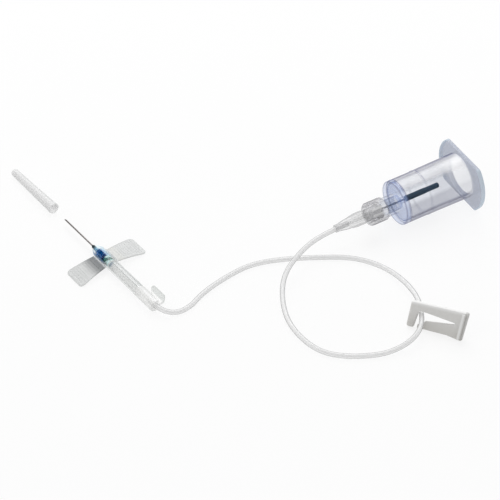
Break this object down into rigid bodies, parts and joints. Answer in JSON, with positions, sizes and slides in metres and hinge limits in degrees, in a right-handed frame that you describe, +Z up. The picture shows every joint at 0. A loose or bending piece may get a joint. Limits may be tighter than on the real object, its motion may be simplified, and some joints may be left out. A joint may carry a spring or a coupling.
{
  "type": "winged infusion set",
  "caption": "Winged needle with sliding safety shield, thin tube, slide clamp and luer joined to a clear holder for sample tubes, lying on a table.",
  "frame": {"origin": "on the table, under the middle of the box round every piece but the tubing and its clamp", "axes": "+X along the tube holder towards its open mouth, +Z up"},
  "size_m": [0.1646, 0.1736, 0.0222],
  "materials": {
    "needle_steel": "polished stainless tube with a ground bevel",
    "glue": "cured dark adhesive",
    "hub_blue": "moulded deep blue, glossy",
    "grip_plastic": "translucent moulded plastic",
    "shield_plastic": "clear moulded plastic, slightly hazy",
    "wing_plastic": "soft translucent sheet with fine ribs",
    "cap_plastic": "frosted translucent plastic",
    "tube_plastic": "clear flexible tubing, glossy",
    "clamp_plastic": "opaque off-white, satin",
    "luer_plastic": "clear moulded plastic",
    "adapter_plastic": "clear moulded plastic",
    "sleeve_rubber": "matt dark rubber",
    "holder_plastic": "clear plastic with a blue tint, glossy"
  },
  "bodies": {
    "set": {"needle_cannula": "needle_steel", "hub_glue_bead": "glue", "needle_hub": "hub_blue", "rear_barrel": "grip_plastic", "tubing": "tube_plastic", "luer_connector": "luer_plastic", "luer_adapter": "adapter_plastic", "holder_cannula": "needle_steel", "rubber_sleeve": "sleeve_rubber", "tube_holder": "holder_plastic"},
    "shield": {"shield_barrel": "shield_plastic", "wings": "wing_plastic"},
    "cap": {"needle_cap": "cap_plastic"},
    "clamp": {"slide_clamp": "clamp_plastic"}
  },
  "joints": [
    {"name": "shield_slide", "type": "slide", "parent": "set", "child": "shield", "axis": [-0.1513, 0.9885, 0], "range_m": [0, 0.024]},
    {"name": "needle_cap_slide", "type": "slide", "parent": "shield", "child": "cap", "axis": [0.1513, -0.9885, 0], "range_m": [0, 0.0308]},
    {"name": "clamp_slide", "type": "slide", "parent": "set", "child": "clamp", "axis": [-0.6101, 0.7923, 0], "range_m": [0, 0.0113], "deforming": ["tubing"]}
  ]
}
